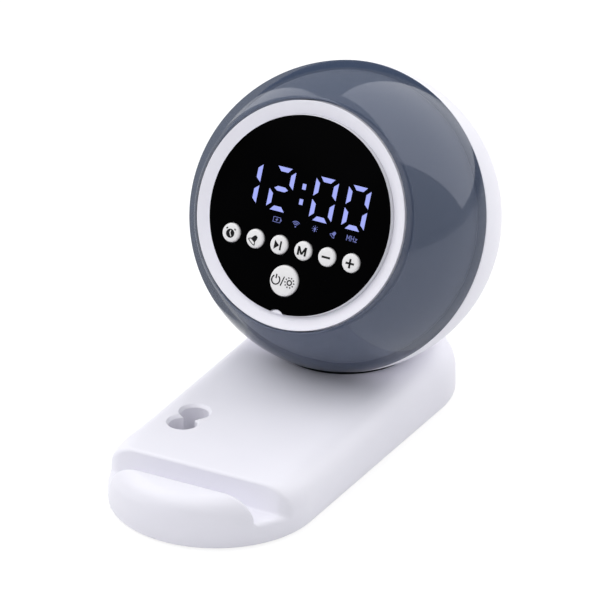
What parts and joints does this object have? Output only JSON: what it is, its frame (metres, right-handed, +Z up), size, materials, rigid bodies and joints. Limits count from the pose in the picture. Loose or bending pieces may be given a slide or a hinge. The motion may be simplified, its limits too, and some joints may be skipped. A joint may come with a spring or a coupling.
{
  "type": "speaker alarm clock",
  "caption": "Ball-shaped clock speaker with a smoked lamp shade, round display and push buttons, swivelling in the well of a low phone stand with a groove and cable hole.",
  "frame": {"origin": "on the table under the middle of the whole object's outline", "axes": "+Z up, +Y from the phone groove towards the ball's back, +X to the right seen from the front"},
  "size_m": [0.1, 0.1697, 0.1128],
  "materials": {
    "white_plastic": "satin white",
    "smoked_plastic": "glossy smoked grey, see-through in part",
    "milky_plastic": "milky translucent",
    "black_lens": "polished black",
    "black_rubber": "matte",
    "black_acetal": "satin",
    "steel": "zinc plated",
    "circuit_board": "green lacquer",
    "ferrite": "dark grey ferrite",
    "battery_pouch": "foil pouch",
    "lead": "insulated wire",
    "foam": "closed-cell foam",
    "paper": "pressed paper",
    "copper": "wound copper"
  },
  "bodies": {
    "stand": {"stand_shell": "white_plastic", "stand_cover": "white_plastic", "stand_weight": "steel", "well_liner": "black_rubber", "swivel_washer": "black_acetal", "foot_1": "black_rubber", "foot_2": "black_rubber", "foot_3": "black_rubber", "foot_4": "black_rubber", "cover_screw_1": "steel", "cover_screw_2": "steel", "cover_screw_3": "steel", "cover_screw_4": "steel"},
    "head": {"rear_shell": "white_plastic", "rear_grille": "white_plastic", "bezel_ring": "white_plastic", "mid_frame": "white_plastic", "front_shade": "smoked_plastic", "inner_diffuser": "milky_plastic", "display_lens": "black_lens", "digit_block": "black_lens", "speaker_surround": "black_rubber", "swivel_post": "black_acetal", "swivel_retainer": "steel", "swivel_screw": "steel", "usb_socket": "steel", "speaker_basket": "steel", "speaker_yoke": "steel", "head_screw_1": "steel", "head_screw_2": "steel", "head_screw_3": "steel", "head_screw_4": "steel", "board_screw_1": "steel", "board_screw_2": "steel", "board_screw_3": "steel", "hub_screw_1": "steel", "hub_screw_2": "steel", "main_screw_1": "steel", "main_screw_2": "steel", "display_board": "circuit_board", "main_board": "circuit_board", "port_board": "circuit_board", "lamp_board": "circuit_board", "speaker_magnet": "ferrite", "battery": "battery_pouch", "battery_lead": "lead", "speaker_lead": "lead", "speaker_gasket": "foam"},
    "alarm_key": {"button_alarm": "white_plastic"},
    "bell_key": {"button_bell": "white_plastic"},
    "play_key": {"button_play": "white_plastic"},
    "mode_key": {"button_mode": "white_plastic"},
    "minus_key": {"button_minus": "white_plastic"},
    "plus_key": {"button_plus": "white_plastic"},
    "power_key": {"button_power": "white_plastic"},
    "cone": {"speaker_cone": "paper", "voice_coil": "copper"}
  },
  "joints": [
    {"name": "head_swivel", "type": "hinge", "parent": "stand", "child": "head", "pos_m": [0, 0.03485, 0.0628], "axis": [0, 0, 1], "continuous": true},
    {"name": "alarm_press", "type": "slide", "parent": "head", "child": "alarm_key", "axis": [0, 0.9063, -0.4226], "range_m": [0, 0.0006], "stiffness_N_per_m": 1500},
    {"name": "bell_press", "type": "slide", "parent": "head", "child": "bell_key", "axis": [0, 0.9063, -0.4226], "range_m": [0, 0.0006], "stiffness_N_per_m": 1500},
    {"name": "play_press", "type": "slide", "parent": "head", "child": "play_key", "axis": [0, 0.9063, -0.4226], "range_m": [0, 0.0006], "stiffness_N_per_m": 1500},
    {"name": "mode_press", "type": "slide", "parent": "head", "child": "mode_key", "axis": [0, 0.9063, -0.4226], "range_m": [0, 0.0006], "stiffness_N_per_m": 1500},
    {"name": "minus_press", "type": "slide", "parent": "head", "child": "minus_key", "axis": [0, 0.9063, -0.4226], "range_m": [0, 0.0006], "stiffness_N_per_m": 1500},
    {"name": "plus_press", "type": "slide", "parent": "head", "child": "plus_key", "axis": [0, 0.9063, -0.4226], "range_m": [0, 0.0006], "stiffness_N_per_m": 1500},
    {"name": "power_press", "type": "slide", "parent": "head", "child": "power_key", "axis": [0, 0.9063, -0.4226], "range_m": [0, 0.0006], "stiffness_N_per_m": 1500},
    {"name": "cone_stroke", "type": "slide", "parent": "head", "child": "cone", "axis": [0, 0.9063, -0.4226], "range_m": [-0.0008, 0.0008], "stiffness_N_per_m": 1000}
  ]
}
